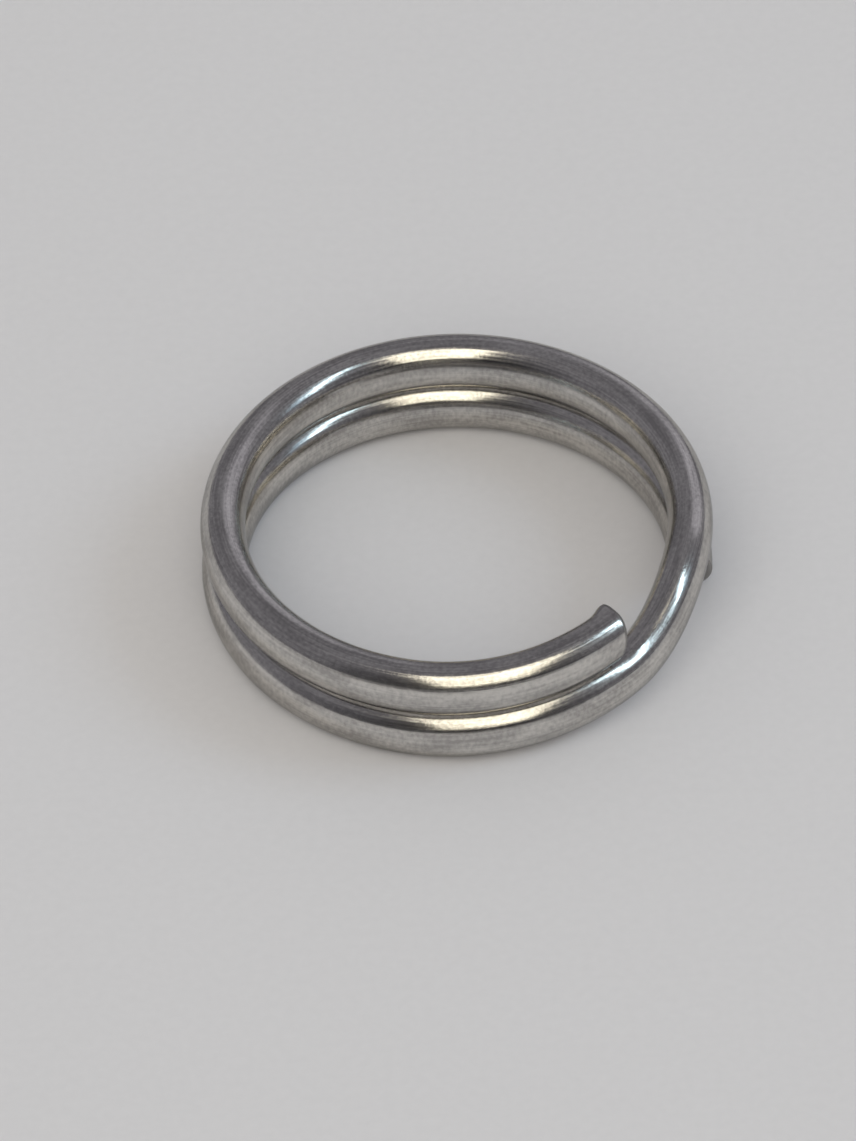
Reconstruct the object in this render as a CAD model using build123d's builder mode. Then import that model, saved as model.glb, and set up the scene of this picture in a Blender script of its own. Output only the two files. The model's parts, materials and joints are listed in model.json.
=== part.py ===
"""Split key ring: one spring wire wound into two stacked coils.

The wire starts at a sheared free end on the upper coil, runs once round, drops through an
S-shaped crossing to the level below, runs round again and stops at a second free end. The upper
free end rides up over the foot of the crossing, which settles slowly to the lower level.

The wire is one piece. Its elastic twist is what lets a key in, so each coil is cut at right
angles to the wire half a turn from its free end, where that twist is greatest, and the half that
ends free turns there about the line of the wire. The other cuts are between fixed stretches.

Millimetres, +Z up. The origin is on the axis of the ring, on the surface that it lies on.
Azimuths are degrees, anticlockwise from +X seen from above, and run on past a full turn.
"""
from build123d import *
from math import cos, pi, radians, sin
import os

# ---- the ring ----
outer_diameter = 15.0       # over the flats of the wire
wire_width = 1.32           # across the wire, along a radius of the ring
wire_height = 1.70          # along the axis of the ring
coil_gap = 0.03             # between the two coils, closed

# ---- the crossing ----
crossing_top = -7.0         # azimuth where the wire leaves the upper level
crossing_foot = -45.0       # azimuth where its steep part ends
settling_end = -104.0       # azimuth where it lies flat on the lower level
settling_drop = 0.57        # of the whole drop, the share left to a slow settling

# ---- the free ends ----
upper_end = -49.0 + 360     # azimuth of the sheared face, at the middle of the wire
lower_end = -4.0 - 360
upper_end_spring = 0.10     # clear of the wire below, past the coil gap
upper_end_inset = 0.06      # the end springs a little into the hole
lower_end_stretch = 46.0    # the last stretch of the lower coil
shear_slant = 15.0          # degrees: the cut leaves the top of the wire longer than the bottom
end_rounding = 0.14         # of the sheared face's rim

# ---- the turning halves ----
free_half = 180.0           # from a free end to the place where the coil's twist is gathered

# ---- worked out from the sizes above ----
centreline_radius = (outer_diameter - wire_width) / 2
lower_level = wire_height / 2
upper_level = lower_level + wire_height + coil_gap
upper_turning_cut = upper_end - free_half
lower_turning_cut = lower_end + free_half
tip_start = settling_end + 360

# Stretches of the upper coil, from the crossing round to the tip: name and where each starts.
UPPER = [("upper_coil_right", crossing_top),
         ("upper_coil_back", (crossing_top + upper_turning_cut) / 2),
         ("upper_coil_left", upper_turning_cut),
         ("upper_coil_front", (upper_turning_cut + tip_start) / 2),
         ("upper_coil_tip", tip_start)]

# Stretches of the lower coil, from the crossing round to its tip, clockwise.
LOWER = [("lower_coil_front_right", crossing_foot),
         ("lower_coil_front_left", settling_end),
         ("lower_coil_back_left", lower_turning_cut),
         ("lower_coil_back_right", (lower_turning_cut + lower_end + lower_end_stretch) / 2),
         ("lower_coil_tip", lower_end + lower_end_stretch)]

SECTION_STEP = 5.0          # degrees between the sections of a lofted stretch


def half_wave(azimuth, start, end):
    """1 before start, 0 after end, and half a cosine wave between them."""
    share = min(max((azimuth - start) / (end - start), 0), 1)
    return (1 + cos(pi * share)) / 2


def settling(azimuth):
    """How far the wire below is still above the lower level."""
    return settling_drop * half_wave(azimuth, crossing_top, settling_end)


def descending_place(azimuth):
    """Radius and height of the wire from the top of the crossing to where it has settled."""
    steep_drop = upper_level - lower_level - settling_drop
    steep = steep_drop * half_wave(azimuth, crossing_top, crossing_foot)
    return centreline_radius, lower_level + steep + settling(azimuth)


def upper_tip_place(azimuth):
    """The upper end follows the wire under it, and springs up and in on top of that."""
    share = max((azimuth - tip_start) / (upper_end - tip_start), 0)
    lift = settling(azimuth - 360) + upper_end_spring * share**2
    return centreline_radius - upper_end_inset * share**2, upper_level + lift


def lower_tip_place(azimuth):
    """The lower end lies flat."""
    return centreline_radius, lower_level


def wire_section():
    """The wire's outline: flats facing the hole and the outside, half rounds above and below."""
    SlotOverall(wire_height, wire_width, rotation=90)


def section_plane(azimuth, place):
    """A plane square to the wire at an azimuth, seen along it, with its x axis outwards."""
    step = 0.01

    def point(angle):
        radius, height = place(angle)
        return Vector(radius * cos(radians(angle)), radius * sin(radians(angle)), height)

    forward = (point(azimuth + step) - point(azimuth - step)).normalized()
    outward = Vector(forward.Y, -forward.X, 0)
    return Plane(origin=point(azimuth), x_dir=outward, z_dir=-forward)


def level_stretch(start, span, level):
    """A stretch that lies level: the section turned about the axis of the ring."""
    radial = Vector(cos(radians(start)), sin(radians(start)), 0)
    upright = Plane(origin=(0, 0, level), x_dir=radial, z_dir=radial.cross(Vector(0, 0, 1)))
    with BuildPart() as piece:
        with BuildSketch(upright):
            with Locations((centreline_radius, 0)):
                wire_section()
        revolve(axis=Axis.Z, revolution_arc=span)
    return piece.part


def lofted_stretch(start, end, place):
    """A stretch that leaves its level: sections square to the wire, joined by a smooth skin."""
    count = 1 + max(round(abs(end - start) / SECTION_STEP), 4)
    with BuildPart() as piece:
        for index in range(count):
            azimuth = start + (end - start) * index / (count - 1)
            with BuildSketch(section_plane(azimuth, place)):
                wire_section()
        loft()
    return piece.part


def sheared_stretch(start, end, place):
    """A stretch that ends free: run past its end, cut off on the slant, and tumbled."""
    forward = 1 if end > start else -1
    spare = 2 * SECTION_STEP * forward
    square = section_plane(end, place)
    cut = square.rotated((-forward * shear_slant, 0, 0))
    with BuildPart() as piece:
        add(lofted_stretch(start, end + spare, place))
        split(bisect_by=cut, keep=Keep.TOP if forward > 0 else Keep.BOTTOM)
        end_face = piece.faces().filter_by(GeomType.PLANE).sort_by_distance(cut.origin)[0]
        fillet(end_face.edges(), end_rounding)
    return piece.part


def export(part, name):
    part.label = name
    export_step(part, f"parts/{name}.step")


os.makedirs("parts", exist_ok=True)

with BuildPart() as crossover:
    add(lofted_stretch(crossing_foot, crossing_top, descending_place))
export(crossover.part, "crossover")

for index, (name, start) in enumerate(UPPER):
    with BuildPart() as stretch:
        if name == "upper_coil_tip":
            add(sheared_stretch(start, upper_end, upper_tip_place))
        else:
            add(level_stretch(start, UPPER[index + 1][1] - start, upper_level))
    export(stretch.part, name)

for index, (name, start) in enumerate(LOWER):
    with BuildPart() as stretch:
        if name == "lower_coil_tip":
            add(sheared_stretch(start, lower_end, lower_tip_place))
        elif name == "lower_coil_front_right":
            add(lofted_stretch(start, settling_end, descending_place))
        else:
            end = LOWER[index + 1][1]
            add(level_stretch(end, start - end, lower_level))
    export(stretch.part, name)

wire_length = radians(upper_end - lower_end) * centreline_radius
print(f"inside diameter {outer_diameter - 2 * wire_width:.2f} mm, "
      f"height {upper_level + wire_height / 2:.2f} mm, wire {wire_length:.1f} mm")
print(f"turning cuts at azimuths {upper_turning_cut:.1f} and {lower_turning_cut:.1f}")
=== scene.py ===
# %% [markdown]
# # A split key ring, from wire to nickel plate
# A split ring is one length of spring wire, wound into two coils that lie on each other. This
# lesson builds its skin around a imported CAD model of the same ring: every stretch of wire here
# stands for one or two CAD solids, and most move with the same body. The model is the authority
# on size, so the first cell loads it, and the numbers that follow are read from it where they can be.

# %% Load the frame
import bpy
import json
import numpy as np
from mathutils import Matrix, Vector


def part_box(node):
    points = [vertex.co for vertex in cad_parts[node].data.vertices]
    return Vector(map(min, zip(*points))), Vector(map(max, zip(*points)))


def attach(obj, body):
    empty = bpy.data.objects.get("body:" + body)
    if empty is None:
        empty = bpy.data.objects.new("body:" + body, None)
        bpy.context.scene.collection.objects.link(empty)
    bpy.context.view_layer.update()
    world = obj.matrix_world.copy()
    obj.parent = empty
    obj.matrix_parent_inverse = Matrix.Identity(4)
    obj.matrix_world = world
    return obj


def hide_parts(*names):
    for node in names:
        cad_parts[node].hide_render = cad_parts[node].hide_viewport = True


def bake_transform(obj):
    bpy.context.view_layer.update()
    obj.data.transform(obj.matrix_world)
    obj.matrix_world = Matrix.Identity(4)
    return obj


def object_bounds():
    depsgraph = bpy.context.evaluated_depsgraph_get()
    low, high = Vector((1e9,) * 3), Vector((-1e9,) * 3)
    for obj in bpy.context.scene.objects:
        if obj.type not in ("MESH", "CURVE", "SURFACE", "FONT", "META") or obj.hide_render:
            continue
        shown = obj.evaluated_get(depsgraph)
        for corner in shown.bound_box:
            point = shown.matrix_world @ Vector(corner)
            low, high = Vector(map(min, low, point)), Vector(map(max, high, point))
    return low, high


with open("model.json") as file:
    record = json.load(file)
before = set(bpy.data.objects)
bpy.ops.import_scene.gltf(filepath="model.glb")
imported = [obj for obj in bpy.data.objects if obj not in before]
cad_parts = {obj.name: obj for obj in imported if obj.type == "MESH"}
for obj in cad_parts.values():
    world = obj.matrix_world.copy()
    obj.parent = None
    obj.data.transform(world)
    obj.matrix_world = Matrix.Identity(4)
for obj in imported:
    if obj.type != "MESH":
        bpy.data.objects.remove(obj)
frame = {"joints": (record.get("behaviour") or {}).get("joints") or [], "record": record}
cad_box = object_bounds()
print("CAD box", [[round(v * 1000, 2) for v in corner] for corner in cad_box], "mm")

# %% [markdown]
# ## The sizes of the ring
# Four numbers say almost everything about a split ring: how wide it is, how thick its wire is
# each way, and how far apart the coils lie. The wire's width comes from the bore that the record
# gives for the hole, its height from the box of a stretch that lies flat.

# %% Sizes, read from the frame
MM = 0.001

mounts = {mount["name"]: mount for mount in frame["record"]["mounts"]}
joints = {joint["name"]: joint for joint in frame["joints"]}

outer_radius = cad_box[1].x
wire_width = outer_radius - mounts["key_loop"]["dims"]["r_mm"] * MM
lower_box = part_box("lower_coil_back_left")
upper_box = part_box("upper_coil_back")
wire_height = lower_box[1].z - lower_box[0].z
lower_level = (lower_box[1].z + lower_box[0].z) / 2
upper_level = (upper_box[1].z + upper_box[0].z) / 2
centreline_radius = outer_radius - wire_width / 2

print(f"ring {2 * outer_radius / MM:.2f} mm, wire {wire_width / MM:.2f} x {wire_height / MM:.2f} mm, "
      f"levels {lower_level / MM:.2f} and {upper_level / MM:.2f} mm")

# %% [markdown]
# ## Where the wire runs
# Azimuths are degrees, anticlockwise from +X seen from above. The wire leaves the upper level at
# the right, drops steeply, and then settles slowly on to the lower level. Near its end the upper
# coil rides over that settling stretch, so it copies its height and springs a little further.
# A spline through points placed by hand could draw this too. These are the same half cosine
# waves as in the CAD source, so that the skin lies on the solids.

# %% The line of the wire
crossing_top = -7.0
crossing_foot = -45.0
settling_end = -104.0
settling_drop = 0.57 * MM
upper_end = 311.0
lower_end = -364.0
lower_end_stretch = 46.0
free_half = 180.0
upper_end_spring = 0.10 * MM
upper_end_inset = 0.06 * MM
tip_start = settling_end + 360
lower_tip_start = lower_end + lower_end_stretch
upper_turning_cut = upper_end - free_half
lower_turning_cut = lower_end + free_half


def half_wave(azimuth, start, end):
    """1 before start, 0 after end, half a cosine wave between them."""
    share = np.clip((azimuth - start) / (end - start), 0, 1)
    return (1 + np.cos(np.pi * share)) / 2


def settling(azimuth):
    """Height still to lose on the way down to the lower level."""
    return settling_drop * half_wave(azimuth, crossing_top, settling_end)


def on_lower_level(azimuth):
    return np.full_like(azimuth, centreline_radius), np.full_like(azimuth, lower_level)


def on_upper_level(azimuth):
    return np.full_like(azimuth, centreline_radius), np.full_like(azimuth, upper_level)


def on_the_crossing(azimuth):
    """A steep half wave, and the long settling one on top of it."""
    steep = upper_level - lower_level - settling_drop
    height = lower_level + steep * half_wave(azimuth, crossing_top, crossing_foot) + settling(azimuth)
    return np.full_like(azimuth, centreline_radius), height


def on_the_upper_tip(azimuth):
    """The height of the wire below, plus a spring that grows with the square of the distance."""
    share = np.maximum((azimuth - tip_start) / (upper_end - tip_start), 0)
    height = upper_level + settling(azimuth - 360) + upper_end_spring * share**2
    return centreline_radius - upper_end_inset * share**2, height


wire_length = np.radians(upper_end - lower_end) * centreline_radius
print(f"{wire_length / MM:.1f} mm of wire, which turns at azimuths "
      f"{upper_turning_cut:.0f} and {lower_turning_cut:.0f}")

# %% [markdown]
# ## Directions along the wire
# A wire's outline is laid square to its line, so every point of the line also needs its own
# forward, outward and upward. The slope of each stretch could be worked out by hand. The
# difference between a point a little ahead and one a little behind gives the same direction for
# any line, so one function serves every stretch.

# %% Directions
LOOK_AHEAD = 0.01           # degrees


def line_of_wire(azimuth, place):
    """Points on the wire's line, and at each the directions forward, outward and upward."""
    def points(angle):
        radius, height = place(angle)
        turn = np.radians(angle)
        return np.stack([radius * np.cos(turn), radius * np.sin(turn), height], axis=-1)

    forward = points(azimuth + LOOK_AHEAD) - points(azimuth - LOOK_AHEAD)
    forward /= np.linalg.norm(forward, axis=-1, keepdims=True)
    outward = np.stack([forward[..., 1], -forward[..., 0], np.zeros_like(forward[..., 0])], axis=-1)
    outward /= np.linalg.norm(outward, axis=-1, keepdims=True)
    return points(azimuth), forward, outward, np.cross(outward, forward)


steepest = (crossing_top + crossing_foot) / 2
slope = np.degrees(np.arcsin(line_of_wire(np.array([steepest]), on_the_crossing)[1][0, 2]))
print(f"the crossing drops at {abs(slope):.0f} degrees halfway down")

# %% [markdown]
# ## The wire's outline
# The wire is drawn through a die that is a little taller than it is wide. A slot shape would do
# for a model, but the jump in curvature where its flats meet its rounds shows as a kink in every
# highlight. An oval given by its support function has no such jump. That function is the distance
# from the centre to the tangent line, for each direction that the surface may face. An outline
# inset by some amount is then the same function less that amount, which makes the rounded rim of
# a cut end easy.

# %% The oval outline
FULLNESS = 0.008 * MM       # fills the oval's shoulders out towards a slot
AROUND = 96                 # columns of the grid, round the wire
mean_radius = (wire_height + wire_width) / 4 + FULLNESS
perimeter = 2 * np.pi * mean_radius


def oval(facing, inset=0.0):
    """Across and up, where the surface faces an angle: h cos a - h' sin a and h sin a + h' cos a."""
    flatter = (wire_height - wire_width) / 4
    distance = mean_radius - flatter * np.cos(2 * facing) - FULLNESS * np.cos(4 * facing) - inset
    slope = 2 * flatter * np.sin(2 * facing) + 4 * FULLNESS * np.sin(4 * facing)
    across = distance * np.cos(facing) - slope * np.sin(facing)
    up = distance * np.sin(facing) + slope * np.cos(facing)
    return across, up


# The columns start at the underside, where the other coil or the table hides the pattern's seam.
FACING = -np.pi / 2 + 2 * np.pi * np.arange(AROUND) / AROUND
print(f"the oval reaches {oval(np.zeros(1))[0][0] / MM:.3f} mm across and "
      f"{oval(np.full(1, np.pi / 2))[1][0] / MM:.3f} mm up, and is {perimeter / MM:.2f} mm round")

# %% [markdown]
# ## Faces for a grid
# Each stretch is a grid of rows along the wire and columns around it. Blender's Curve objects
# can carry an outline along a path too, but they can't lean the last rows to make a slanted cut.
# Here quads join the rows, and a fan of triangles closes each end on a middle point.

# %% Faces
def faces_of_grid(count, flip):
    """Quads between rows, then the two fans. Flipped where the rows run clockwise."""
    row, column = np.meshgrid(np.arange(count - 1), np.arange(AROUND), indexing="ij")
    following = (column + 1) % AROUND
    quads = np.stack([row * AROUND + column, (row + 1) * AROUND + column,
                      (row + 1) * AROUND + following, row * AROUND + following], axis=-1)
    quads = quads.reshape(-1, 4)

    rim = np.arange(AROUND)
    next_on_rim = (rim + 1) % AROUND
    last_row = (count - 1) * AROUND
    first_middle = np.full(AROUND, count * AROUND)
    last_middle = first_middle + 1
    fans = np.concatenate([np.stack([first_middle, rim, next_on_rim], axis=-1),
                           np.stack([last_middle, last_row + next_on_rim, last_row + rim], axis=-1)])
    return (quads[:, ::-1], fans[:, ::-1]) if flip else (quads, fans)


print(f"{AROUND} columns, {perimeter / AROUND / MM:.3f} mm apart")

# %% [markdown]
# ## A map along the wire
# Drawing lines run along the wire wherever it goes, so their pattern can't be laid out in plain
# X, Y and Z. A UV map can follow the wire: its first number is the distance along the line and
# its second is the distance round the outline, both in millimetres.

# %% Wire map
def add_wire_map(mesh, corners, along):
    """along: mm along the wire, for each row. Round the wire, a column's share of the perimeter."""
    count = len(along)
    uv = np.zeros((count * AROUND + 2, 2))
    uv[:count * AROUND, 0] = np.repeat(along, AROUND)
    uv[count * AROUND:, 0] = along[0], along[-1]
    uv[:count * AROUND, 1] = np.tile(np.arange(AROUND) / AROUND, count)
    uv = uv[corners]
    # The last column of quads ends at a full turn, and not back at nought.
    last_column = np.tile(np.repeat(np.arange(AROUND) == AROUND - 1, 4), count - 1)
    at_the_seam = np.zeros(len(corners), bool)
    at_the_seam[:len(last_column)] = last_column
    uv[at_the_seam & (uv[:, 1] < 0.5), 1] += 1
    uv[:, 1] *= perimeter / MM
    layer = mesh.uv_layers.new(name="along_the_wire")
    layer.data.foreach_set("uv", uv.astype(np.float32).ravel())


print(f"a full turn of the wire map is {perimeter / MM:.2f} mm")

# %% [markdown]
# ## From a grid to a mesh
# A mesh can be made face by face, but a Python loop over thousands of them is slow. foreach_set
# writes a whole array at once. Rows past the wall belong to a cut end and take the second
# material. The wall's normals come from the formula, because normals worked out from the faces
# of each stretch would break a highlight where two stretches meet.

# %% Grid to mesh
def mesh_from_rows(name, rows, normals, middles, along, last_wall_row, flip):
    """rows: (n, m, 3). middles: a point for each end. normals: for the rows of the wall."""
    count = len(rows)
    points = np.concatenate([rows.reshape(-1, 3), np.asarray(middles)])
    quads, fans = faces_of_grid(count, flip)
    corners = np.concatenate([quads.ravel(), fans.ravel()]).astype(np.int32)
    sizes = np.concatenate([np.full(len(quads), 4), np.full(len(fans), 3)]).astype(np.int32)
    starts = np.concatenate([[0], np.cumsum(sizes)[:-1]]).astype(np.int32)

    mesh = bpy.data.meshes.new(name)
    mesh.vertices.add(len(points))
    mesh.vertices.foreach_set("co", points.astype(np.float32).ravel())
    mesh.loops.add(len(corners))
    mesh.loops.foreach_set("vertex_index", corners)
    mesh.polygons.add(len(sizes))
    mesh.polygons.foreach_set("loop_start", starts)
    mesh.polygons.foreach_set("loop_total", sizes)

    has_cut = last_wall_row < count - 1
    start_fan, end_fan = np.zeros(AROUND, bool), np.full(AROUND, has_cut)
    smooth = np.concatenate([np.ones(len(quads), bool), start_fan, end_fan])
    mesh.polygons.foreach_set("use_smooth", smooth)
    quad_row = np.repeat(np.arange(count - 1), AROUND)
    cut = np.concatenate([quad_row >= last_wall_row, start_fan, end_fan])
    mesh.polygons.foreach_set("material_index", cut.astype(np.int32))
    add_wire_map(mesh, corners, along)
    mesh.update(calc_edges=True)
    mesh.validate()

    # A zero leaves a corner to Blender's own normal, as on the cut ends.
    normal = np.zeros((len(points), 3))
    normal[:(last_wall_row + 1) * AROUND] = normals.reshape(-1, 3)
    normal = normal[corners]
    normal[4 * last_wall_row * AROUND:] = 0
    mesh.normals_split_custom_set(normal)
    return mesh


# %% [markdown]
# ## The burr on a cut end
# The cutter drags a small lip of metal up at the last corner that it leaves. It could be a piece
# of its own, but it grows out of the wire without a joint. So it is a swelling of the outline:
# the oval is drawn a little too large there, by two bells, one round the wire and one along it.

# %% Burr
LIP_HEIGHT = 0.13 * MM
LIP_LENGTH = 0.28 * MM      # along the wire
LIP_FACING = np.radians(128)    # the inner top corner, where 90 is straight up
LIP_SPREAD = np.radians(24)
LIP_REACH = 3 * LIP_LENGTH      # past this the lip is too low to matter


def lip(facing, back):
    """The burr's height: a bell round the wire's outline, and a bell back from the cut."""
    return LIP_HEIGHT * np.exp(-((facing - LIP_FACING) / LIP_SPREAD)**2 - (back / LIP_LENGTH)**2)


print(f"burr {lip(LIP_FACING, 0.0) / MM:.2f} mm high at the cut, "
      f"{lip(LIP_FACING, LIP_LENGTH) / MM:.2f} mm high {LIP_LENGTH / MM:.2f} mm behind it")

# %% [markdown]
# ## Stretches of wire, and the cut ends
# Most stretches stop square, face to face with the next one. The two free ends are sheared: the
# cutter comes down on a slant, so the top of the wire is left longer than the bottom, and
# tumbling then rounds the rim. A cut made with a Boolean would need a bevel on a slanted oval.
# Here each row leans a little further than the one before it, and the rows of the rim follow a
# quarter circle, so the grid itself ends in the right shape.

# %% One stretch
STEP = 0.5                  # degrees between rows
SHEAR_SLANT = np.radians(15)
RIM = 0.14 * MM             # radius that tumbling leaves on the cut's edge
RIM_ROWS = 8
FACE_ROWS = 8
degrees_per_metre = np.degrees(1 / centreline_radius)


def grid(azimuth, facing, inset, place, scale=1.0):
    """Points of the surface: the line of the wire, plus the oval laid across it."""
    point, forward, outward, upward = line_of_wire(azimuth, place)
    across, up = oval(facing, inset)
    surface = point + scale * (across[..., None] * outward + up[..., None] * upward)
    return surface, np.cos(facing)[..., None] * outward + np.sin(facing)[..., None] * upward


def stretch_mesh(name, start, end, place, sheared=False):
    """Rows from start to end. A sheared end adds a rim and a face past them."""
    sign = 1 if end > start else -1
    rows_of_wall = 1 + int(round(abs(end - start) / STEP))
    azimuth = np.linspace(start, end, rows_of_wall)[:, None]
    facing = FACING[None, :]
    middles = line_of_wire(np.array([start, end], dtype=float), place)[0]
    if not sheared:
        rows, normals = grid(np.repeat(azimuth, AROUND, axis=1), facing, 0.0, place)
        along = azimuth[:, 0] / degrees_per_metre / MM
        return mesh_from_rows(name, rows, normals, middles, along, rows_of_wall - 1, sign < 0)

    # The wall leans by a share that grows from nothing to the whole slant, and swells at the lip.
    lean = np.tan(SHEAR_SLANT) * oval(facing)[1]
    share = (azimuth - start) / (end - start)
    stop = end - sign * RIM * degrees_per_metre
    wall = start + (stop - start) * share + sign * degrees_per_metre * lean * share**2
    back = np.abs(end - wall) / degrees_per_metre
    wall_rows, normals = grid(wall, facing, -lip(facing, back), place)
    normals[back[:, 0] < LIP_REACH] = 0

    # The rim: a quarter circle from the wall round to the cut face.
    quarter = np.linspace(0, np.pi / 2, RIM_ROWS + 1)[1:, None]
    inset = RIM * (1 - np.cos(quarter)) - lip(facing, 0.0) * np.cos(quarter)
    ahead = RIM * (np.sin(quarter) - 1)
    lean = np.tan(SHEAR_SLANT) * oval(facing, inset)[1]
    rim_rows = grid(end + sign * degrees_per_metre * (lean + ahead), facing, inset, place)[0]

    # The face: the same outline, smaller row by row, down to the middle.
    scale = np.linspace(1, 0, FACE_ROWS + 1)[1:-1, None]
    lean = np.tan(SHEAR_SLANT) * oval(facing, RIM)[1] * scale
    face_rows = grid(end + sign * degrees_per_metre * lean, facing, RIM, place, scale[..., None])[0]

    rows = np.concatenate([wall_rows, rim_rows, face_rows])
    along = np.concatenate([wall[:, 0], end + sign * degrees_per_metre * (RIM + ahead)[:, 0],
                            end + sign * degrees_per_metre * wire_width * (1 - scale[:, 0]) / 2])
    along = along / degrees_per_metre / MM
    return mesh_from_rows(name, rows, normals, middles, along, rows_of_wall - 1, sign < 0)


print(f"rows {STEP / degrees_per_metre / MM:.3f} mm apart along the wire")

# %% [markdown]
# ## Colours and nodes
# Blender works in linear light, and hex colours are written in sRGB, so one function turns them.
# A second adds a node of any kind with its settings and links. An input is given by its name, or
# by its number, as _0, where several inputs of the node share a name.

# %% Colour and node helpers
def linear(hex_colour):
    """sRGB hex to linear RGBA: the inverse of the sRGB transfer curve."""
    value = np.array([int(hex_colour[i:i + 2], 16) for i in (1, 3, 5)]) / 255
    value = np.where(value <= 0.04045, value / 12.92, ((value + 0.055) / 1.055) ** 2.4)
    return (*value, 1.0)


def add_node(tree, kind, settings=(), **inputs):
    """A node of that kind. settings: its properties. inputs: a value, or a socket to link."""
    node = tree.nodes.new(kind)
    for key, value in dict(settings).items():
        setattr(node, key, value)
    for key, value in inputs.items():
        socket = node.inputs[int(key[1:])] if key[0] == "_" else node.inputs[key.replace("_", " ")]
        if isinstance(value, bpy.types.NodeSocket):
            tree.links.new(value, socket)
        else:
            socket.default_value = value
    return node


def new_material(name):
    material = bpy.data.materials.new(name)
    material.use_nodes = True
    material.node_tree.nodes.clear()
    return material, material.node_tree


print("middle grey in linear light", round(linear("#808080")[0], 3))

# %% [markdown]
# ## Bright nickel plate on drawn wire
# Spring steel wire is drawn through a die, wound, cut, tumbled and then plated with bright
# nickel, a slightly warm grey mirror. A Principled shader with one colour and one roughness would
# look like glass-smooth chrome. So three patterns on the wire map share the work: fine lines from
# the die, which spread each highlight a little across the wire, long soft marks from tumbling,
# and small dents. They drive the bump, the roughness and a slight change of tone.

# %% Nickel plate
def bright_nickel_plate():
    material, tree = new_material("bright_nickel_plate")
    wire_map = add_node(tree, "ShaderNodeUVMap", {"uv_map": "along_the_wire"})
    flat = {"noise_dimensions": "2D"}
    # Real drawing lines are too fine to show. These are drawn 0.06 mm apart and about 8 mm long.
    line_pitch, lines_per_mm_along = 0.06, 0.12
    along = add_node(tree, "ShaderNodeMapping", Vector=wire_map.outputs["UV"],
                     Scale=(lines_per_mm_along, 1 / line_pitch, 1))
    lines = add_node(tree, "ShaderNodeTexNoise", flat,
                     Vector=along.outputs[0], Scale=1.0, Detail=3.0, Roughness=0.6)
    # Tumbling marks, drawn here 2 mm along the wire and 0.4 mm across it.
    mark_length, mark_width = 2.0, 0.4
    stretched = add_node(tree, "ShaderNodeMapping", Vector=wire_map.outputs["UV"],
                         Scale=(1 / mark_length, 1 / mark_width, 1))
    marks = add_node(tree, "ShaderNodeTexNoise", flat,
                     Vector=stretched.outputs[0], Scale=1.0, Detail=5.0, Roughness=0.6)
    # Dents from the rest of the batch, drawn here 0.125 mm across.
    dent_width = 0.125
    dents = add_node(tree, "ShaderNodeTexNoise", flat,
                     Vector=wire_map.outputs["UV"], Scale=1 / dent_width, Detail=2.0, Roughness=0.5)
    # The three heights are added up, with the marks highest and the dents a little under the lines.
    multiply_add = {"operation": "MULTIPLY_ADD"}
    waves = add_node(tree, "ShaderNodeMath", multiply_add,
                     _0=marks.outputs["Fac"], _1=1.5, _2=lines.outputs["Fac"])
    height = add_node(tree, "ShaderNodeMath", multiply_add,
                      _0=dents.outputs["Fac"], _1=0.9, _2=waves.outputs[0])
    bump = add_node(tree, "ShaderNodeBump", Strength=0.18, Distance=0.01 * MM, Height=height.outputs[0])
    rough = add_node(tree, "ShaderNodeMapRange", Value=lines.outputs["Fac"],
                     From_Min=0.3, From_Max=0.7, To_Min=0.13, To_Max=0.24)
    level = add_node(tree, "ShaderNodeMapRange", Value=height.outputs[0],
                     From_Min=1.35, From_Max=2.05, To_Min=0.0, To_Max=1.0)
    tone = add_node(tree, "ShaderNodeMix", {"data_type": "RGBA"}, _0=level.outputs[0],
                    _6=linear("#ABA8A5"), _7=linear("#D6D3CE"))
    # The specular tint darkens the metal at a glancing angle. It is chosen for its look.
    shader = add_node(tree, "ShaderNodeBsdfPrincipled", Metallic=1.0, Base_Color=tone.outputs[2],
                      Specular_Tint=linear("#D2D2D2"), Roughness=rough.outputs[0], Normal=bump.outputs[0])
    add_node(tree, "ShaderNodeOutputMaterial", Surface=shader.outputs[0])
    return material


nickel = bright_nickel_plate()
print(nickel.name, "with", len(nickel.node_tree.nodes), "nodes")

# %% [markdown]
# ## Sheared steel
# The cut faces are torn spring steel under the thinnest plate: darker, duller, and streaked in
# the direction that the cutter went. A flat grey would pass from far off, but the face at the
# front is large enough to show its streaks. They are a noise stretched up and down, in plain
# object coordinates, because the wire map pinches together at the middle of the face.

# %% Sheared steel
def sheared_spring_steel():
    material, tree = new_material("sheared_spring_steel")
    place = add_node(tree, "ShaderNodeTexCoord")
    # Drawn here 0.05 mm apart, and nearly seven times as long.
    streak_pitch = 0.05 * MM
    turned = add_node(tree, "ShaderNodeMapping", Vector=place.outputs["Object"],
                      Scale=(1 / streak_pitch, 1 / streak_pitch, 0.15 / streak_pitch))
    streaks = add_node(tree, "ShaderNodeTexNoise", Vector=turned.outputs[0], Scale=1.0, Detail=3.0)
    bump = add_node(tree, "ShaderNodeBump", Strength=0.5, Distance=0.02 * MM, Height=streaks.outputs["Fac"])
    tone = add_node(tree, "ShaderNodeMix", {"data_type": "RGBA"}, _0=streaks.outputs["Fac"],
                    _6=linear("#7C7A78"), _7=linear("#A9A6A2"))
    rough = add_node(tree, "ShaderNodeMapRange", Value=streaks.outputs["Fac"],
                     From_Min=0.3, From_Max=0.7, To_Min=0.35, To_Max=0.55)
    shader = add_node(tree, "ShaderNodeBsdfPrincipled", Metallic=1.0, Base_Color=tone.outputs[2],
                      Roughness=rough.outputs[0], Normal=bump.outputs[0])
    add_node(tree, "ShaderNodeOutputMaterial", Surface=shader.outputs[0])
    return material


steel = sheared_spring_steel()
print(steel.name, "with", len(steel.node_tree.nodes), "nodes")
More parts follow.
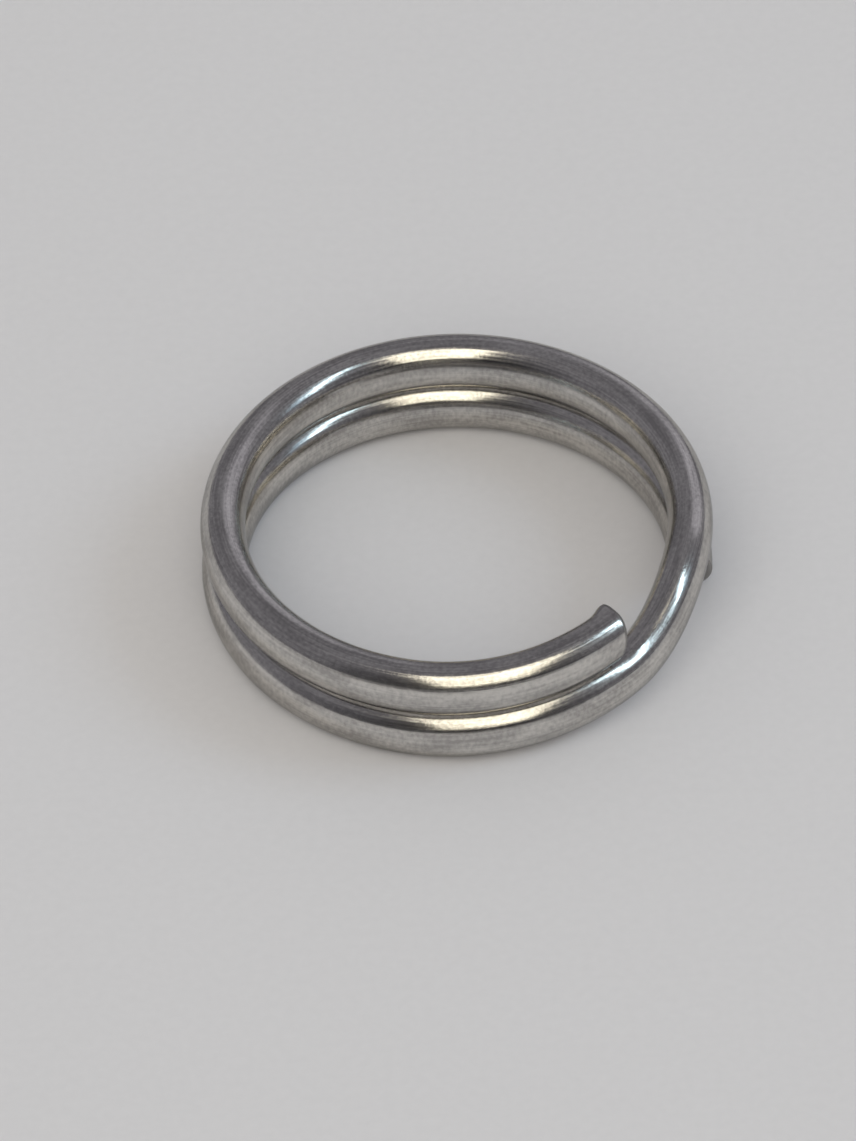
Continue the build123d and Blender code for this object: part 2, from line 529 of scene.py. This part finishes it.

# %% [markdown]
# ## The stretches in place
# The real wire is whole, and its twist opens the ring: each coil turns as a half from a place
# half a turn behind its free end. Eleven skins, one for each CAD node, would crack open at the
# two turning cuts. So a longer stretch spans each cut and is fixed where it is built, on neither
# body, and the other seven ride on one body. The table gives each stretch where it starts and
# ends, its line, the CAD nodes that it stands for, and its body or joint.

# %% The table of stretches
upper_bend = ((crossing_top + upper_turning_cut) / 2, (upper_turning_cut + tip_start) / 2)
lower_bend = (settling_end, (lower_turning_cut + lower_tip_start) / 2)

STRETCHES = [
    ("wire_crossover", crossing_foot, crossing_top, on_the_crossing, ["crossover"], "middle"),
    ("wire_upper_right", crossing_top, upper_bend[0], on_upper_level, ["upper_coil_right"], "middle"),
    ("wire_upper_bend", *upper_bend, on_upper_level, ["upper_coil_back", "upper_coil_left"],
     "upper_opening"),
    ("wire_upper_front", upper_bend[1], tip_start, on_upper_level, ["upper_coil_front"],
     "upper_free_half"),
    ("wire_upper_tip", tip_start, upper_end, on_the_upper_tip, ["upper_coil_tip"], "upper_free_half"),
    ("wire_lower_front", crossing_foot, settling_end, on_the_crossing, ["lower_coil_front_right"],
     "middle"),
    ("wire_lower_bend", *lower_bend, on_lower_level, ["lower_coil_front_left", "lower_coil_back_left"],
     "lower_opening"),
    ("wire_lower_back", lower_bend[1], lower_tip_start, on_lower_level, ["lower_coil_back_right"],
     "lower_free_half"),
    ("wire_lower_tip", lower_tip_start, lower_end, on_lower_level, ["lower_coil_tip"],
     "lower_free_half"),
]

print(len(STRETCHES), "stretches stand for", sum(len(row[4]) for row in STRETCHES), "CAD nodes")

# %% [markdown]
# ## Stretches across a hinge
# A sharp turn at the hinge would fold the skin. The model's hinge stands in for a twist that is
# really spread along the wire. The stretches that span a hinge are only fixed in place here, and
# turn with neither body.


def bend_at(piece):
    """Fixes the stretch where it was built. It follows neither the joint's parent nor its child."""
    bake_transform(piece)


for name, start, end, place, nodes, holder in STRETCHES:
    mesh = stretch_mesh(name, start, end, place, sheared=name.endswith("tip"))
    mesh.materials.append(nickel)
    mesh.materials.append(steel)
    piece = bpy.data.objects.new(name, mesh)
    bpy.context.scene.collection.objects.link(piece)
    if holder in joints:
        bend_at(piece)
    else:
        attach(piece, holder)
    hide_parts(*nodes)
    print(f"{name}: {len(mesh.polygons)} faces")

# %% [markdown]
# ## The sheet of paper
# The ring lies on a matt pale sheet. It is part of the stage and not of the object. One large
# quad is enough for a sheet that lies flat. Its fibres only show as the faintest unevenness,
# which a fine noise between two close greys gives.

# %% Paper
HALF_SHEET = 400 * MM


def pale_paper():
    material, tree = new_material("pale_matt_paper")
    place = add_node(tree, "ShaderNodeTexCoord")
    fibre_pitch = 0.3 * MM
    fibres = add_node(tree, "ShaderNodeTexNoise", Vector=place.outputs["Object"],
                      Scale=1 / fibre_pitch, Detail=3.0)
    tone = add_node(tree, "ShaderNodeMix", {"data_type": "RGBA"}, _0=fibres.outputs["Fac"],
                    _6=linear("#E4E2E2"), _7=linear("#EAE8E8"))
    shader = add_node(tree, "ShaderNodeBsdfPrincipled", Base_Color=tone.outputs[2], Roughness=0.95)
    add_node(tree, "ShaderNodeOutputMaterial", Surface=shader.outputs[0])
    return material


paper_mesh = bpy.data.meshes.new("paper")
corners = [(x * HALF_SHEET, y * HALF_SHEET, 0) for x, y in ((-1, -1), (1, -1), (1, 1), (-1, 1))]
paper_mesh.from_pydata(corners, [], [(0, 1, 2, 3)])
paper_mesh.materials.append(pale_paper())
paper = bpy.data.objects.new("paper", paper_mesh)
bpy.context.scene.collection.objects.link(paper)
print(f"a sheet {2 * HALF_SHEET / MM:.0f} mm wide")

# %% [markdown]
# ## Light
# Polished metal shows its surroundings, so each light is placed for what it draws on the wire:
# a highlight sits where the surface faces halfway between the camera and the light. A broad warm
# panel in front gives the long highlights at the front and the back, and two narrow cool windows
# at the right give the short bright ones. Lights that draw the right highlights light the paper
# wrongly, so the metal's lights are hidden from matt surfaces, and two fills light the paper
# alone. That isn't how real light works. It keeps the two looks apart, so each can be set.

# %% Lights
LIGHT_DISTANCE = 600 * MM


def panel(name, azimuth, elevation, width, height, radiance, colour):
    """A rectangle of light, width and height in degrees seen from the ring, facing the ring."""
    turn, tilt = np.radians(azimuth), np.radians(elevation)
    direction = Vector((np.cos(turn) * np.cos(tilt), np.sin(turn) * np.cos(tilt), np.sin(tilt)))
    light = bpy.data.lights.new(name, "AREA")
    light.shape = "RECTANGLE"
    light.size = 2 * LIGHT_DISTANCE * np.tan(np.radians(width / 2))
    light.size_y = 2 * LIGHT_DISTANCE * np.tan(np.radians(height / 2))
    light.energy = radiance * np.pi * light.size * light.size_y
    light.color = linear(colour)[:3]
    lamp = bpy.data.objects.new(name, light)
    lamp.location = direction * LIGHT_DISTANCE
    lamp.rotation_euler = direction.to_track_quat("Z", "Y").to_euler()
    bpy.context.scene.collection.objects.link(lamp)
    return lamp


def seen_only_in_metal(lamp):
    lamp.visible_diffuse = False


def seen_only_by_paper(lamp):
    lamp.visible_glossy = False


seen_only_in_metal(panel("warm_panel", -82, 46, 35, 50, 2.3, "#FFF8E2"))
seen_only_in_metal(panel("cool_window", -18, 43, 6, 34, 6.0, "#D8F2FF"))
seen_only_in_metal(panel("low_window", -9, 29, 6, 18, 0.9, "#BFE6FF"))
seen_only_by_paper(panel("front_fill", -105, 50, 50, 50, 1.1, "#FFFDF8"))
seen_only_by_paper(panel("cool_fill", 5, 38, 24, 24, 2.7, "#C4E0FF"))
print("lights", ", ".join(light.name for light in bpy.data.lights))

# %% [markdown]
# ## The room
# What the wire shows between its highlights is the room: dark on the camera's side, lighter
# behind, and lightest round a pale wall at the back right. An image of a real room would do this,
# but three smooth ramps are enough, and they say what is where. The paper takes one even light
# from all round in place of the room, for the same reason as with the lamps.

# %% Room
world = bpy.data.worlds.new("dim_room")
bpy.context.scene.world = world
world.use_nodes = True
world.node_tree.nodes.clear()
room = world.node_tree
smooth = {"interpolation_type": "SMOOTHSTEP"}
PALE_WALL = (0.49, 0.73, 0.475)     # the direction of its middle
toward = add_node(room, "ShaderNodeTexCoord").outputs["Generated"]
parts = add_node(room, "ShaderNodeSeparateXYZ", Vector=toward)
behind = add_node(room, "ShaderNodeMapRange", smooth, Value=parts.outputs["Y"],
                  From_Min=-0.95, From_Max=-0.35, To_Min=0.05, To_Max=0.23)
facing_wall = add_node(room, "ShaderNodeVectorMath", {"operation": "DOT_PRODUCT"},
                       _0=toward, _1=PALE_WALL)
wall = add_node(room, "ShaderNodeMapRange", smooth, Value=facing_wall.outputs["Value"],
                From_Min=0.84, From_Max=0.97, To_Min=0.0, To_Max=0.28)
# The wall's light fades out towards the table.
rising = add_node(room, "ShaderNodeMapRange", smooth, Value=parts.outputs["Z"],
                  From_Min=0.12, From_Max=0.34, To_Min=0.0, To_Max=1.0)
dim = add_node(room, "ShaderNodeMath", {"operation": "MULTIPLY_ADD"},
               _0=wall.outputs[0], _1=rising.outputs[0], _2=behind.outputs[0])
path = add_node(room, "ShaderNodeLightPath")
strength = add_node(room, "ShaderNodeMix", _0=path.outputs["Is Diffuse Ray"], _2=dim.outputs[0], _3=0.47)
tint = add_node(room, "ShaderNodeMix", {"data_type": "RGBA"}, _0=path.outputs["Is Diffuse Ray"],
                _6=linear("#F6F4FF"), _7=linear("#FFFDFA"))
sky = add_node(room, "ShaderNodeBackground", Color=tint.outputs[2], Strength=strength.outputs[0])
add_node(room, "ShaderNodeOutputWorld", Surface=sky.outputs[0])
print(world.name, "with", len(room.nodes), "nodes")

# %% [markdown]
# ## Camera
# The camera looks down at 45 degrees through a long lens, from the side of the free end, and is
# held a degree out of level. The lens could have a shift to place the ring in the frame. Sliding
# the whole camera sideways and down does the same with a plain lens.

# %% Camera
def look(elevation, distance, lens, aside, below, roll):
    """Aims at the ring's middle from -Y, then slides the camera sideways and down, unturned."""
    tilt = np.radians(elevation)
    target = Vector((0, 0, (upper_level + lower_level) / 2))
    back = Vector((0, -np.cos(tilt), np.sin(tilt)))
    up = Vector((0, np.sin(tilt), np.cos(tilt)))
    data = bpy.data.cameras.new("camera")
    data.lens = lens
    data.clip_start, data.clip_end = 0.01, 10
    camera = bpy.data.objects.new("camera", data)
    camera.location = target + back * distance - Vector((1, 0, 0)) * aside - up * below
    camera.rotation_euler = back.to_track_quat("Z", "Y").to_euler()
    camera.rotation_euler.rotate_axis("Z", np.radians(roll))
    bpy.context.scene.collection.objects.link(camera)
    bpy.context.scene.camera = camera
    return camera


camera = look(elevation=45, distance=280 * MM, lens=301.3, aside=0.86 * MM, below=0.81 * MM, roll=-1.0)
bpy.context.scene.view_settings.view_transform = "Standard"
print("camera at", [round(v / MM, 1) for v in camera.location], "mm")
